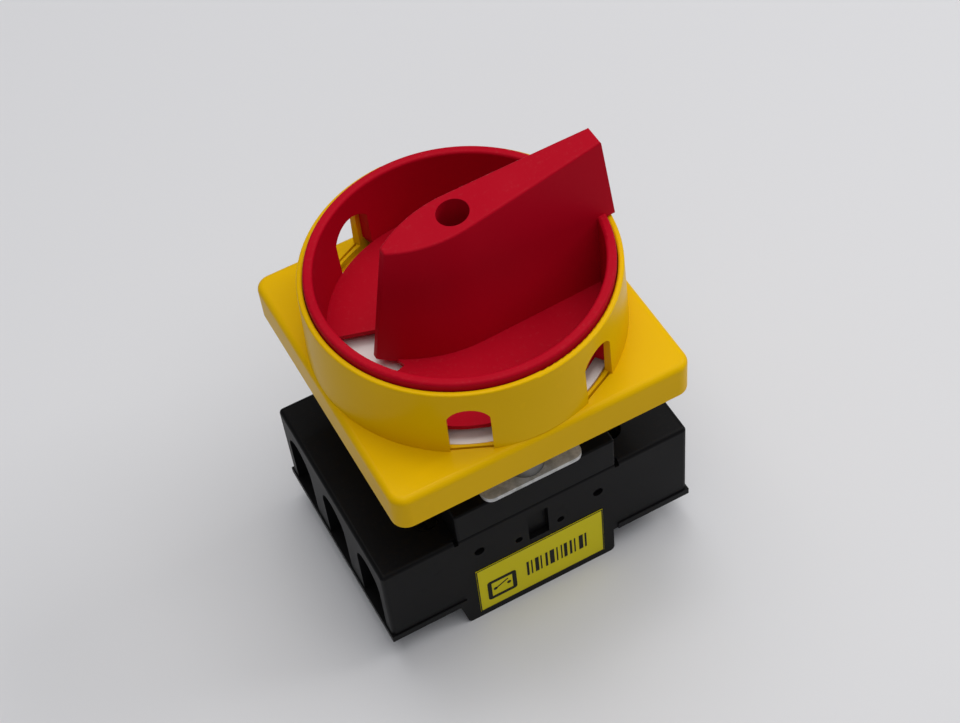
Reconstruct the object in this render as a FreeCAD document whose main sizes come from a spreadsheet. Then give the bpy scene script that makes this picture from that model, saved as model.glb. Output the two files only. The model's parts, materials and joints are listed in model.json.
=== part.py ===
"""Rotary isolator switch: a three-pole main switch with a lockable handle and a rail foot.

Frame: +Z up out of the knob, +X towards the load terminals, origin under the shaft axis at the
level that the foot stands on. The switch is OFF. Sizes are millimetres, angles degrees.
"""

import FreeCAD, Part

import math
import os
import re

import Sketcher
from FreeCAD import Placement, Rotation, Vector

SIZES = {
    # handle and front plate
    "plate_side": 60.0,
    "plate_corner": 3.0,
    "plate_depth": 7.9,
    "plate_wall": 2.0,
    "web_thickness": 3.2,
    "plate_round": 1.3,
    "collar_height": 15.5,
    "cup_gap": 0.15,
    "collar_wall": 1.6,
    "collar_taper": 0.5,
    "collar_round": 0.4,
    "recess_depth": 1.5,
    "window_turn": 26.0,
    "collar_window": 7.6,
    "cup_window": 9.2,
    "window_straight": 8.9,
    "window_rise": 2.5,
    "slit_inset": 0.75,
    "slit_width": 0.45,
    "slit_depth": 1.2,
    "cup_radius": 27.85,
    "cup_wall": 1.85,
    "cup_draft": 0.5,
    "rim_rise": 1.45,
    "rim_round": 0.6,
    "floor_lift": 1.0,
    "floor_thickness": 1.0,
    "cutout_inner": 15.8,
    "cutout_turn": 18.0,
    "wing_height": 12.2,
    "wing_slope": 6.8,
    "wing_round": 0.45,
    "tip_round": 0.5,
    "wing_clearance": 0.5,
    "head_hole": 3.0,
    "hub_radius": 7.0,
    "hub_length": 7.0,
    "running_gap": 0.05,
    "bearing_wall": 3.5,
    "seal_width": 2.2,
    "seal_thickness": 1.4,
    "disc_gap": 0.8,
    "disc_thickness": 0.5,
    "gasket_inset": 1.4,
    "gasket_width": 3.0,
    "gasket_proud": 0.25,
    # plate fixing
    "plate_screws": 38.0,
    "screw_radius": 2.0,
    "screw_clearance": 0.2,
    "pan_radius": 3.8,
    "pan_height": 2.0,
    "column_radius": 4.2,
    "sleeve_radius": 3.9,
    "strip_width": 21.0,
    "strip_overhang": 0.5,
    "strip_thickness": 1.0,
    "strip_corner": 2.0,
    "panel_gap": 13.9,
    # mechanism
    "block_length": 34.2,
    "block_height": 7.9,
    "neck_radius": 7.5,
    "neck_height": 11.0,
    "shaft_side": 6.0,
    "shaft_gap": 0.03,
    "shaft_room": 0.11,
    "shaft_seat": 0.9,
    "shaft_rise": 4.0,
    "cam_flat": 13.0,
    "cam_corner": 8.0,
    "cam_height": 4.6,
    "rotor_hub": 5.6,
    "crank_disc": 6.4,
    "crank_thickness": 2.4,
    "crank_radius": 3.25,
    "pin_radius": 1.3,
    "pin_gap": 0.15,
    "leaf_thickness": 0.5,
    "leaf_length": 23.0,
    "mechanism_wall": 2.0,
    # terminal part
    "body_length": 66.3,
    "body_width": 46.2,
    "base_height": 20.6,
    "body_round": 0.9,
    "case_wall": 2.0,
    "end_wall": 2.5,
    "barrier": 2.0,
    "pole_pitch": 15.4,
    "mouth_width": 9.8,
    "mouth_height": 16.3,
    "mid_chamber": 13.0,
    "terminal_x": 20.0,
    "terminal_length": 9.0,
    "terminal_width": 8.0,
    "terminal_height": 11.0,
    "wire_radius": 2.8,
    "wire_level": 5.4,
    "driver_hole": 2.5,
    "clamp_radius": 3.0,
    "clamp_head": 2.4,
    "clamp_lift": 2.8,
    "contact_thickness": 1.1,
    "contact_height": 4.6,
    "contact_level": 6.0,
    "contact_offset": 4.3,
    "contact_tip": 6.0,
    "bridge_length": 21.0,
    "contact_gap": 0.05,
    "travel": 4.6,
    "carrier_thickness": 2.8,
    "carrier_length": 18.0,
    "bow_depth": 1.3,
    "bow_thickness": 0.25,
    "plate_thickness": 1.6,
    "plate_lip": 0.3,
    "post_x": 14.6,
    "post_radius": 2.2,
    "tie_radius": 1.25,
    "tie_head": 2.3,
    "tie_head_height": 1.0,
    "dimple_radius": 1.1,
    "small_dimple": 0.8,
    "dimple_depth": 0.9,
    "slot_width": 4.4,
    "slot_height": 8.0,
    # foot
    "foot_height": 7.1,
    "foot_right": 16.1,
    "foot_slope": 1.5,
    "rail_width": 35.2,
    "rail_flange": 1.4,
    "hook_thickness": 1.8,
    "hook_reach": 1.4,
    "latch_width": 11.8,
    "latch_thickness": 3.0,
    "latch_travel": 2.2,
    "latch_gap": 0.1,
    "latch_tab": 3.4,
    "label_length": 28.2,
    "label_height": 14.6,
    "label_thickness": 0.15,
}

POLES = (-1, 0, 1)
ENDS = {"line": -1, "load": 1}

doc = FreeCAD.newDocument("rotary_isolator_switch")
sheet = doc.addObject("Spreadsheet::Sheet", "Sizes")
for row, (alias, value) in enumerate(SIZES.items(), start=1):
    sheet.set(f"A{row}", alias)
    sheet.set(f"B{row}", str(value))
    sheet.setAlias(f"B{row}", alias)
doc.recompute()

nodes = []


# ---------------------------------------------------------------- formulas
def formula(text):
    """The expression that reads each named size in text from the sheet."""
    return re.sub(r"[a-z][a-z0-9_]*", lambda word: _cell(word.group()), str(text))


def _cell(word):
    return f"Sizes.{word}" if word in SIZES else word


def value_of(text):
    return float(sheet.evalExpression(formula(text)))


def bind(thing, prop, text):
    thing.setExpression(prop, formula(text))


def above(level, *more):
    """A level raised by more sizes."""
    return " + ".join([f"({level})", *[f"({extra})" for extra in more]])


def below(level, less):
    return f"({level}) - ({less})"


COLLAR_BORE = "(cup_radius + cup_gap)"
COLLAR_FOOT = f"({COLLAR_BORE} + collar_wall)"
COLLAR_LIP = f"({COLLAR_FOOT} - collar_taper)"
SEAL_RADIUS = "(hub_radius + seal_width)"
GASKET_OUTER = "(plate_side/2 - plate_wall - gasket_inset)"
BASE_LOW = "foot_height"
BASE_FLOOR = above(BASE_LOW, "plate_thickness")
SHOULDER = above(BASE_FLOOR, "base_height")
BLOCK_TOP = above(SHOULDER, "block_height")
STRIP_TOP = above(BLOCK_TOP, "strip_thickness")
PLATE_REAR = above(STRIP_TOP, "panel_gap")
PLATE_TOP = above(PLATE_REAR, "plate_depth")
WEB_LOW = below(PLATE_TOP, "web_thickness")
RECESS = below(PLATE_TOP, "recess_depth")
COLLAR_TOP = above(PLATE_TOP, "collar_height")
RIM_TOP = above(COLLAR_TOP, "rim_rise")
KNOB_LOW = above(PLATE_TOP, "floor_lift")
KNOB_FLOOR = above(KNOB_LOW, "floor_thickness")
HUB_LOW = below(KNOB_LOW, "hub_length")
WING_TOP = above(RIM_TOP, "wing_height")
CEILING = below(SHOULDER, "case_wall")
CARRIER_TOP = below(CEILING, "crank_thickness + 0.6")
CARRIER_LOW = below(CARRIER_TOP, "carrier_thickness")
SHAFT_LOW = above(CARRIER_TOP, "shaft_seat")
SHAFT_TOP = above(PLATE_TOP, "shaft_rise")
SCREW_SEAT = above(SHAFT_TOP, "1.6")
CONTACT_LOW = above(BASE_FLOOR, "contact_level")
WIRE_AXIS = above(BASE_FLOOR, "wire_level")
TERMINAL_TOP = above(BASE_FLOOR, "0.3 + terminal_height")


# ---------------------------------------------------------------- Part primitives
def block(name, x, y, z):
    """A box between the low and high formulas of each axis."""
    made = doc.addObject("Part::Box", name)
    for axis, side, (low, high) in zip("xyz", ("Length", "Width", "Height"), (x, y, z)):
        bind(made, side, f"({high}) - ({low})")
        bind(made, f"Placement.Base.{axis}", low)
    return made


def centred(name, length, width, z, x="0", y="0"):
    """A box of that length and width about (x, y)."""
    return block(
        name,
        (f"{x} - ({length})/2", f"{x} + ({length})/2"),
        (f"{y} - ({width})/2", f"{y} + ({width})/2"),
        z,
    )


TURNS = {
    "z": Rotation(),
    "x": Rotation(Vector(0, 1, 0), 90),
    "y": Rotation(Vector(1, 0, 0), -90),
}


def rod(name, radius, along, x="0", y="0", z="0", axis="z"):
    """A cylinder between the two formulas in along, on the axis through the other two."""
    made = doc.addObject("Part::Cylinder", name)
    made.Placement = Placement(Vector(), TURNS[axis])
    low, high = along
    bind(made, "Radius", radius)
    bind(made, "Height", f"({high}) - ({low})")
    start = {"x": x, "y": y, "z": z, axis: low}
    for letter in "xyz":
        bind(made, f"Placement.Base.{letter}", start[letter])
    return made


def together(name, parts):
    made = doc.addObject("Part::MultiFuse", name)
    made.Shapes = parts
    return made


def shared(name, parts):
    made = doc.addObject("Part::MultiCommon", name)
    made.Shapes = parts
    return made


def cut(name, base, tools):
    made = doc.addObject("Part::Cut", name)
    made.Base = base
    made.Tool = tools[0] if len(tools) == 1 else together(name + "_tools", tools)
    return made


def group(name, parts):
    made = doc.addObject("Part::Compound", name)
    made.Links = parts
    return made


# ---------------------------------------------------------------- sketches and bodies
def new_body(name):
    return doc.addObject("PartDesign::Body", name + "_body")


def new_sketch(body, name, plane="XY_Plane", offset="0", turn=None, turn_axis=Vector(0, 0, 1)):
    """A sketch on one of the body's origin planes, moved along its normal and turned."""
    drawn = body.newObject("Sketcher::SketchObject", name)
    origin_plane = next(f for f in body.Origin.OriginFeatures if f.Role == plane)
    drawn.AttachmentSupport = [(origin_plane, "")]
    drawn.MapMode = "FlatFace"
    if turn is not None:
        drawn.AttachmentOffset = Placement(Vector(), Rotation(turn_axis, 1.0))
        bind(drawn, "AttachmentOffset.Rotation.Angle", turn)
    bind(drawn, "AttachmentOffset.Base.z", offset)
    return drawn


def pin_point(drawn, geometry, place, x, y):
    """Holds a point of the sketch at the formulas x and y."""
    for kind, text in (("DistanceX", x), ("DistanceY", y)):
        held = Sketcher.Constraint(kind, -1, 1, geometry, place, value_of(text))
        index = drawn.addConstraint(held)
        bind(drawn, f"Constraints[{index}]", text)


def circle(drawn, radius, x="0", y="0"):
    centre = Vector(value_of(x), value_of(y), 0)
    index = drawn.addGeometry(Part.Circle(centre, Vector(0, 0, 1), value_of(radius)), False)
    pin_point(drawn, index, 3, x, y)
    held = drawn.addConstraint(Sketcher.Constraint("Radius", index, value_of(radius)))
    bind(drawn, f"Constraints[{held}]", radius)


def bulge_radius(start, end, rise):
    chord = f"((({end[0]}) - ({start[0]}))^2 + (({end[1]}) - ({start[1]}))^2)"
    return f"({chord} / 4 + ({rise})^2) / (2 * abs({rise}))"


def profile(drawn, corners, bulges=None):
    """A closed outline through the corners. bulges gives the rise of an arc, to the right of
    the way from that corner to the next, in place of a straight side."""
    bulges = bulges or {}
    points = [Vector(value_of(x), value_of(y), 0) for x, y in corners]
    sides = []
    for number, start in enumerate(points):
        end = points[(number + 1) % len(points)]
        if number in bulges:
            rise = value_of(bulges[number])
            way = (end - start).normalize()
            crown = (start + end) * 0.5 + Vector(way.y, -way.x, 0) * rise
            index = drawn.addGeometry(Part.Arc(start, crown, end), False)
            forward = (drawn.Geometry[index].StartPoint - start).Length < 1e-6
            sides.append((index, 1, 2) if forward else (index, 2, 1))
        else:
            index = drawn.addGeometry(Part.LineSegment(start, end), False)
            sides.append((index, 1, 2))
    for number, (index, first, last) in enumerate(sides):
        following, its_first, _ = sides[(number + 1) % len(sides)]
        drawn.addConstraint(Sketcher.Constraint("Coincident", index, last, following, its_first))
        pin_point(drawn, index, first, *corners[number])
        if number in bulges:
            text = bulge_radius(corners[number], corners[(number + 1) % len(corners)], bulges[number])
            held = drawn.addConstraint(Sketcher.Constraint("Radius", index, value_of(text)))
            bind(drawn, f"Constraints[{held}]", text)


def rectangle(drawn, x, y):
    profile(drawn, [(x[0], y[0]), (x[1], y[0]), (x[1], y[1]), (x[0], y[1])])


def middle_rectangle(drawn, length, width, x="0", y="0"):
    rectangle(
        drawn,
        (f"{x} - ({length})/2", f"{x} + ({length})/2"),
        (f"{y} - ({width})/2", f"{y} + ({width})/2"),
    )


def arch(drawn, middle, width, low, straight, rise):
    """A doorway: two sides, a flat foot and an arc on top."""
    left, right = f"({middle}) - ({width})/2", f"({middle}) + ({width})/2"
    spring = above(low, straight)
    profile(drawn, [(left, low), (right, low), (right, spring), (left, spring)], {2: rise})


def _feature(body, kind, name, drawn, length, reverse, both_ways):
    made = body.newObject(f"PartDesign::{kind}", name)
    made.Profile = drawn
    made.Reversed = reverse
    if both_ways:
        made.Midplane = True
    bind(made, "Length", length)
    doc.recompute()
    return made


def pad(body, name, drawn, length, reverse=False):
    return _feature(body, "Pad", name, drawn, length, reverse, False)


def pocket(body, name, drawn, length, along_normal=False, both_ways=False):
    """Cuts against the sketch's normal, or along it, and makes sure that something was cut."""
    before = body.Shape.Volume
    made = _feature(body, "Pocket", name, drawn, length, along_normal, both_ways)
    if body.Shape.Volume > before - 1e-6:
        raise RuntimeError(f"{name} cuts nothing")
    return made


def turned(body, name, drawn, kind="Revolution"):
    made = body.newObject(f"PartDesign::{kind}", name)
    made.Profile = drawn
    made.ReferenceAxis = (drawn, ["V_Axis"])
    made.Angle = 360.0
    doc.recompute()
    return made


def sector_groove(body, name, radii, levels, middle, half_turn):
    """Cuts part of a ring between two radii and two levels, about the direction middle."""
    before = body.Shape.Volume
    drawn = new_sketch(body, name, "XZ_Plane", "0", middle, Vector(0, 1, 0))
    rectangle(drawn, radii, levels)
    made = body.newObject("PartDesign::Groove", name + "_cut")
    made.Profile = drawn
    made.ReferenceAxis = (drawn, ["V_Axis"])
    made.Midplane = True
    bind(made, "Angle", f"2 * ({half_turn})")
    doc.recompute()
    if body.Shape.Volume > before - 1e-6:
        raise RuntimeError(f"{name} cuts nothing")
    return made


def round_edges(body, name, radius, wanted, kind="Fillet"):
    """Rounds the edges of the body so far for which wanted is true."""
    base = body.Tip
    edges = [f"Edge{n}" for n, edge in enumerate(base.Shape.Edges, start=1) if wanted(edge)]
    if not edges:
        raise RuntimeError(f"{name} finds no edge")
    made = body.newObject(f"PartDesign::{kind}", name)
    made.Base = (base, edges)
    bind(made, "Radius" if kind == "Fillet" else "Size", radius)
    doc.recompute()
    return made


def twice_round(body, name, features):
    """Repeats the features half a turn on about Z."""
    pattern = body.newObject("PartDesign::PolarPattern", name)
    pattern.Originals = features
    z_axis = next(f for f in body.Origin.OriginFeatures if f.Role == "Z_Axis")
    pattern.Axis = (z_axis, [""])
    pattern.Angle = 360.0
    pattern.Occurrences = 2
    body.Tip = pattern
    doc.recompute()
    return pattern


def is_upright(edge):
    box = edge.BoundBox
    return box.ZLength > 0.5 and box.XLength < 1e-6 and box.YLength < 1e-6


def lies_at(edge, text):
    level = value_of(text)
    box = edge.BoundBox
    return abs(box.ZMin - level) < 1e-5 and abs(box.ZMax - level) < 1e-5


def keep(thing, label):
    """Makes the object a sub-part, under the name that its file gets."""
    thing.Label = label
    nodes.append(thing)
    return thing


def cross_slot(name, radius, depth, top, x="0", y="0"):
    """The two crossing slots of a screw head."""
    z = (below(top, depth), above(top, "1"))
    length, width = f"({radius}) * 1.3", f"({radius}) * 0.28"
    return [
        centred(name + "_slot_a", length, width, z, x, y),
        centred(name + "_slot_b", width, length, z, x, y),
    ]


# ---------------------------------------------------------------- front plate
WINDOWS = {
    "left": "0 - window_turn",
    "right": "window_turn",
    "back": "180 + window_turn",
}


def windows(body, name, width, foot, straight, depth):
    """The padlock windows, cut outwards from the axis. Each is turned that far from -Y."""
    for tag, turn in WINDOWS.items():
        drawn = new_sketch(body, f"{name}_{tag}", "XZ_Plane", "0", turn, Vector(0, 1, 0))
        arch(drawn, "0", width, foot, straight, "window_rise")
        pocket(body, f"{name}_{tag}_cut", drawn, depth, along_normal=True)


def make_front_plate():
    body = new_body("front_plate")
    outline = new_sketch(body, "plate_outline", offset=PLATE_REAR)
    middle_rectangle(outline, "plate_side", "plate_side")
    pad(body, "plate_pad", outline, "plate_depth")
    round_edges(body, "plate_corners", "plate_corner", is_upright)
    round_edges(body, "plate_top_edge", "plate_round", lambda e: lies_at(e, PLATE_TOP))
    hollow = new_sketch(body, "plate_hollow", offset=PLATE_REAR)
    inner = "plate_side - 2*plate_wall"
    middle_rectangle(hollow, inner, inner)
    pocket(body, "plate_hollow_cut", hollow, "plate_depth - web_thickness", along_normal=True)

    collar = new_sketch(body, "collar_profile", "XZ_Plane")
    profile(
        collar,
        [
            (COLLAR_BORE, PLATE_TOP),
            (COLLAR_FOOT, PLATE_TOP),
            (COLLAR_LIP, COLLAR_TOP),
            (COLLAR_BORE, COLLAR_TOP),
        ],
    )
    turned(body, "collar", collar)
    round_edges(body, "collar_edge", "collar_round", lambda e: lies_at(e, COLLAR_TOP))
    recess = new_sketch(body, "recess_outline", offset=PLATE_TOP)
    circle(recess, COLLAR_BORE)
    pocket(body, "recess_cut", recess, "recess_depth")

    bosses = new_sketch(body, "boss_outlines", offset=PLATE_REAR)
    circle(bosses, "hub_radius + bearing_wall")
    for side in ("-plate_screws/2", "plate_screws/2"):
        circle(bosses, "column_radius", "0", side)
    pad(body, "bosses", bosses, "plate_depth - web_thickness")
    bores = new_sketch(body, "bore_outlines", offset=RECESS)
    circle(bores, "hub_radius + running_gap")
    for side in ("-plate_screws/2", "plate_screws/2"):
        circle(bores, "screw_radius + screw_clearance", "0", side)
    pocket(body, "bore_cuts", bores, "plate_depth")
    seal_seat = new_sketch(body, "seal_seat", offset=RECESS)
    circle(seal_seat, SEAL_RADIUS)
    pocket(body, "seal_seat_cut", seal_seat, "seal_thickness")

    for tag, turn in WINDOWS.items():
        slit = new_sketch(body, f"slit_{tag}", offset=PLATE_TOP, turn=turn)
        middle_rectangle(slit, "collar_window", "slit_width", "0", f"0 - {COLLAR_BORE} - slit_inset")
        pocket(body, f"slit_{tag}_cut", slit, "slit_depth")
    windows(body, "collar_window", "collar_window", PLATE_TOP, "window_straight", f"{COLLAR_FOOT} + 5")
    keep(body, "front_plate")


# ---------------------------------------------------------------- knob
def leaf(body, name, level, tip, blunt, hub, tail, tail_half, belly):
    """The wing's outline at one level: a blunt tip, two bowed flanks and a straight tail."""
    drawn = new_sketch(body, name, offset=level)
    profile(
        drawn,
        [
            (f"0 - {tip}", f"0 - {blunt}"),
            ("0", f"0 - {hub}"),
            (tail, f"0 - {tail_half}"),
            (tail, tail_half),
            ("0", hub),
            (f"0 - {tip}", blunt),
        ],
        {0: belly, 4: belly},
    )
    return drawn


def make_knob():
    body = new_body("knob")
    cup = new_sketch(body, "cup_profile", "XZ_Plane")
    profile(
        cup,
        [
            ("0", HUB_LOW),
            ("hub_radius", HUB_LOW),
            ("hub_radius", KNOB_LOW),
            ("cup_radius", KNOB_LOW),
            ("cup_radius", RIM_TOP),
            ("cup_radius - cup_wall", RIM_TOP),
            ("cup_radius - cup_wall - cup_draft", KNOB_FLOOR),
            ("0", KNOB_FLOOR),
        ],
    )
    turned(body, "cup", cup)
    round_edges(body, "rim_edge", "rim_round", lambda e: lies_at(e, RIM_TOP))
    inner = "cup_radius - cup_wall - cup_draft"
    levels = (below(KNOB_LOW, "1"), KNOB_FLOOR)
    sector_groove(body, "legend_cutout", ("cutout_inner", inner), levels, "180", "cutout_turn")
    half_turn = f"asin(cup_window / 2 / ({inner})) / (1 deg)"
    for tag, turn in WINDOWS.items():
        middle = f"{turn} - 90"
        sector_groove(body, f"sill_{tag}", (inner, "cup_radius + 1"), levels, middle, half_turn)
    windows(body, "cup_window", "cup_window", KNOB_FLOOR, "window_straight - 1.5", "cup_radius + 5")

    low, high = below(KNOB_FLOOR, "0.5"), above(WING_TOP, "5")
    foot_leaf = leaf(body, "wing_foot", low, "18.6", "0.6", "7.6", "cup_radius + 2.35", "6.5", "2.0")
    crown_leaf = leaf(body, "wing_crown", high, "12.6", "0.9", "4.1", "cup_radius + 0.35", "1.9", "1.0")
    wing = body.newObject("PartDesign::AdditiveLoft", "wing")
    wing.Profile = foot_leaf
    wing.Sections = [crown_leaf]
    wing.Ruled = True
    doc.recompute()


    def along_tip(edge):
        box = edge.BoundBox
        return box.ZLength > 15 and box.XMax < -10 and box.YLength < 2

    round_edges(body, "tip_edges", "tip_round", along_tip)
    overhang = new_sketch(body, "under_tail", "XZ_Plane")
    rectangle(overhang, ("cup_radius", "cup_radius + 20"), (HUB_LOW, above(COLLAR_TOP, "wing_clearance")))
    turned(body, "under_tail_cut", overhang, "Groove")
    crest = new_sketch(body, "wing_crest", "XZ_Plane")
    run = "40"
    profile(
        crest,
        [
            (f"0 - {run}", f"{WING_TOP} - {run} * tan(wing_slope)"),
            (run, f"{WING_TOP} + {run} * tan(wing_slope)"),
            (run, above(WING_TOP, "40")),
            (f"0 - {run}", above(WING_TOP, "40")),
        ],
    )
    pocket(body, "wing_crest_cut", crest, "60", both_ways=True)

    slope = math.tan(math.radians(value_of("wing_slope")))

    def on_crest(edge):
        """Is the whole edge on the sloping top?"""
        return all(
            abs(p.z - value_of(WING_TOP) - slope * p.x) < 1e-4 for p in edge.discretize(5)
        )

    round_edges(body, "wing_edge", "wing_round", on_crest)
    hole = new_sketch(body, "head_hole_outline", offset=above(WING_TOP, "10"))
    circle(hole, "head_hole")
    pocket(body, "head_hole_cut", hole, f"({above(WING_TOP, '10')}) - ({SCREW_SEAT})")
    shank = new_sketch(body, "shank_hole_outline", offset=above(WING_TOP, "10"))
    circle(shank, "screw_radius + screw_clearance")
    pocket(body, "shank_hole_cut", shank, f"({above(WING_TOP, '10')}) - ({SHAFT_TOP})")
    socket = new_sketch(body, "shaft_socket", offset=HUB_LOW)
    middle_rectangle(socket, "shaft_side + 2*shaft_gap", "shaft_side + 2*shaft_gap")
    pocket(body, "shaft_socket_cut", socket, f"({SHAFT_TOP}) - ({HUB_LOW})", along_normal=True)
    keep(body, "knob")


# ---------------------------------------------------------------- what holds and seals the handle
def make_knob_screw():
    top = above(SCREW_SEAT, "pan_height")
    head = rod("knob_screw_head", "head_hole - 0.15", (SCREW_SEAT, top))
    shank = rod("knob_screw_shank", "screw_radius", (below(SHAFT_TOP, "9"), SCREW_SEAT))
    tools = cross_slot("knob_screw", "head_hole", "pan_height * 0.6", top)
    keep(cut("knob_screw", together("knob_screw_blank", [head, shank]), tools), "knob_screw")


def make_legend_disc():
    top = above(RECESS, "disc_thickness")
    disc = rod("legend_blank", f"{COLLAR_BORE} - disc_gap", (RECESS, top))
    holes = [rod("legend_bore", "hub_radius + 0.4", (below(RECESS, "1"), above(top, "1")))]
    for tag, side in (("front", "0 - plate_screws/2"), ("back", "plate_screws/2")):
        span = (below(RECESS, "1"), above(top, "1"))
        holes.append(rod(f"legend_{tag}_hole", "pan_radius + 0.3", span, y=side))
    keep(cut("legend_disc", disc, holes), "legend_disc")


def make_ring(label, inner, outer, low, high):
    tube = rod(label + "_outside", outer, (low, high))
    bore = rod(label + "_bore", inner, (below(low, "1"), above(high, "1")))
    keep(cut(label, tube, [bore]), label)


def make_plate_screws():
    top = above(RECESS, "pan_height")
    screws = []
    for tag, side in (("front", "0 - plate_screws/2"), ("back", "plate_screws/2")):
        name = f"plate_screw_{tag}"
        head = rod(name + "_head", "pan_radius", (RECESS, top), y=side)
        shank = rod(name + "_shank", "screw_radius", (below(BLOCK_TOP, "1.2"), RECESS), y=side)
        tools = cross_slot(name, "pan_radius", "pan_height * 0.6", top, "0", side)
        screws.append(cut(name, together(name + "_blank", [head, shank]), tools))
    keep(group("plate_screw_set", screws), "plate_screws")


def make_spacer_sleeves():
    sleeves = []
    for tag, side in (("front", "0 - plate_screws/2"), ("back", "plate_screws/2")):
        tube = rod(f"sleeve_{tag}_tube", "sleeve_radius", (STRIP_TOP, PLATE_REAR), y=side)
        span = (below(STRIP_TOP, "1"), above(PLATE_REAR, "1"))
        bore = rod(f"sleeve_{tag}_bore", "screw_radius + screw_clearance", span, y=side)
        sleeves.append(cut(f"sleeve_{tag}", tube, [bore]))
    keep(group("sleeve_set", sleeves), "spacer_sleeves")


def make_mounting_strip():
    body = new_body("mounting_strip")
    outline = new_sketch(body, "strip_outline", offset=BLOCK_TOP)
    middle_rectangle(outline, "strip_width", "body_width + 2*strip_overhang")
    circle(outline, "neck_radius + 0.3")
    for side in ("-plate_screws/2", "plate_screws/2"):
        circle(outline, "screw_radius", "0", side)
    pad(body, "strip_pad", outline, "strip_thickness")

    def at_corner(edge):
        return is_upright(edge) and abs(edge.BoundBox.XMin) > value_of("strip_width / 2 - 0.1")

    round_edges(body, "strip_corners", "strip_corner", at_corner)
    keep(body, "mounting_strip")


# ---------------------------------------------------------------- mechanism
def make_mechanism_housing():
    body = new_body("mechanism_housing")
    outline = new_sketch(body, "block_outline", offset=SHOULDER)
    middle_rectangle(outline, "block_length", "body_width")
    pad(body, "block_pad", outline, "block_height")
    round_edges(body, "block_corners", "body_round * 0.6", is_upright)
    round_edges(body, "block_top_edge", "body_round * 0.5", lambda e: lies_at(e, BLOCK_TOP))
    neck = new_sketch(body, "neck_outline", offset=BLOCK_TOP)
    circle(neck, "neck_radius")
    pad(body, "neck", neck, "neck_height")
    cavity = new_sketch(body, "cam_chamber", offset=SHOULDER)
    middle_rectangle(cavity, "leaf_length + 1", "2*cam_corner + 3")
    depth = "block_height - mechanism_wall"
    pocket(body, "cam_chamber_cut", cavity, depth, along_normal=True)
    posts = new_sketch(body, "leaf_posts", offset=SHOULDER)
    for x_low, x_high in (("-leaf_length/2", "3 - leaf_length/2"), ("leaf_length/2 - 3", "leaf_length/2")):
        inner, outer = "cam_flat/2 + leaf_thickness + 0.02", "cam_corner + 1.5"
        rectangle(posts, (x_low, x_high), (inner, outer))
        rectangle(posts, (x_low, x_high), (f"0 - ({outer})", f"0 - ({inner})"))
    pad(body, "leaf_posts_pad", posts, depth)
    bore = new_sketch(body, "neck_bore", offset=above(BLOCK_TOP, "neck_height"))
    circle(bore, "shaft_side * sqrt(0.5) + shaft_room")
    pocket(body, "neck_bore_cut", bore, "neck_height + block_height")
    holes = new_sketch(body, "tie_holes", offset=SHOULDER)
    for x in ("-post_x", "post_x"):
        for y in ("-pole_pitch/2", "pole_pitch/2"):
            circle(holes, "tie_radius", x, y)
    for side in ("-plate_screws/2", "plate_screws/2"):
        circle(holes, "screw_radius + screw_clearance", "0", side)
    pocket(body, "tie_holes_cut", holes, "block_height - 1.6", along_normal=True)
    tips = new_sketch(body, "plate_screw_holes", offset=BLOCK_TOP)
    for side in ("-plate_screws/2", "plate_screws/2"):
        circle(tips, "screw_radius + screw_clearance", "0", side)
    pocket(body, "plate_screw_holes_cut", tips, "2")
    keep(body, "mechanism_housing")


def make_drive_shaft():
    body = new_body("drive_shaft")
    outline = new_sketch(body, "shaft_outline", offset=SHAFT_LOW)
    middle_rectangle(outline, "shaft_side", "shaft_side")
    pad(body, "shaft_pad", outline, below(SHAFT_TOP, SHAFT_LOW))
    round_edges(body, "shaft_corners", "0.3", is_upright)
    hole = new_sketch(body, "shaft_thread", offset=SHAFT_TOP)
    circle(hole, "screw_radius")
    pocket(body, "shaft_thread_cut", hole, "9.5")
    keep(body, "drive_shaft")


def make_drive_rotor():
    disc_low = above(CARRIER_TOP, "0.3")
    disc_top = above(disc_low, "crank_thickness")
    hub_top = above(SHOULDER, "0.3")
    cam_top = above(hub_top, "cam_height")
    disc = rod("crank_disc", "crank_disc", (disc_low, disc_top))
    hub = rod("rotor_hub", "rotor_hub", (disc_top, hub_top))
    square = centred("cam_square", "cam_flat", "cam_flat", (hub_top, cam_top))
    corners = rod("cam_corners", "cam_corner", (hub_top, cam_top))
    cam = shared("detent_cam", [square, corners])
    pin = rod(
        "crank_pin",
        "pin_radius",
        (above(CARRIER_LOW, "0.4"), disc_low),
        x="0 - crank_radius * cos(45)",
        y="0 - crank_radius * sin(45)",
    )
    side = "shaft_side + 2*shaft_gap"
    socket = centred("rotor_socket", side, side, (SHAFT_LOW, above(cam_top, "1")))
    keep(cut("drive_rotor", together("rotor_blank", [disc, hub, cam, pin]), [socket]), "drive_rotor")


def make_detent_springs():
    low = above(SHOULDER, "0.8")
    high = above(low, "cam_height - 1")
    for tag, sign in (("front", "-1"), ("back", "1")):
        middle = f"{sign} * (cam_flat/2 + leaf_thickness/2 + 0.01)"
        leaf_spring = centred(
            f"leaf_{tag}", "leaf_length", "leaf_thickness", (low, high), "0", middle
        )
        keep(leaf_spring, f"detent_spring_{tag}")


# ---------------------------------------------------------------- contacts
def pole_y(pole):
    return f"{pole} * pole_pitch"


def bridge_back(pole):
    """The bridge's -Y face at OFF: a travel, its own thickness and a gap short of the tips."""
    return f"{pole_y(pole)} + contact_offset - contact_gap - contact_thickness - travel"


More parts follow.
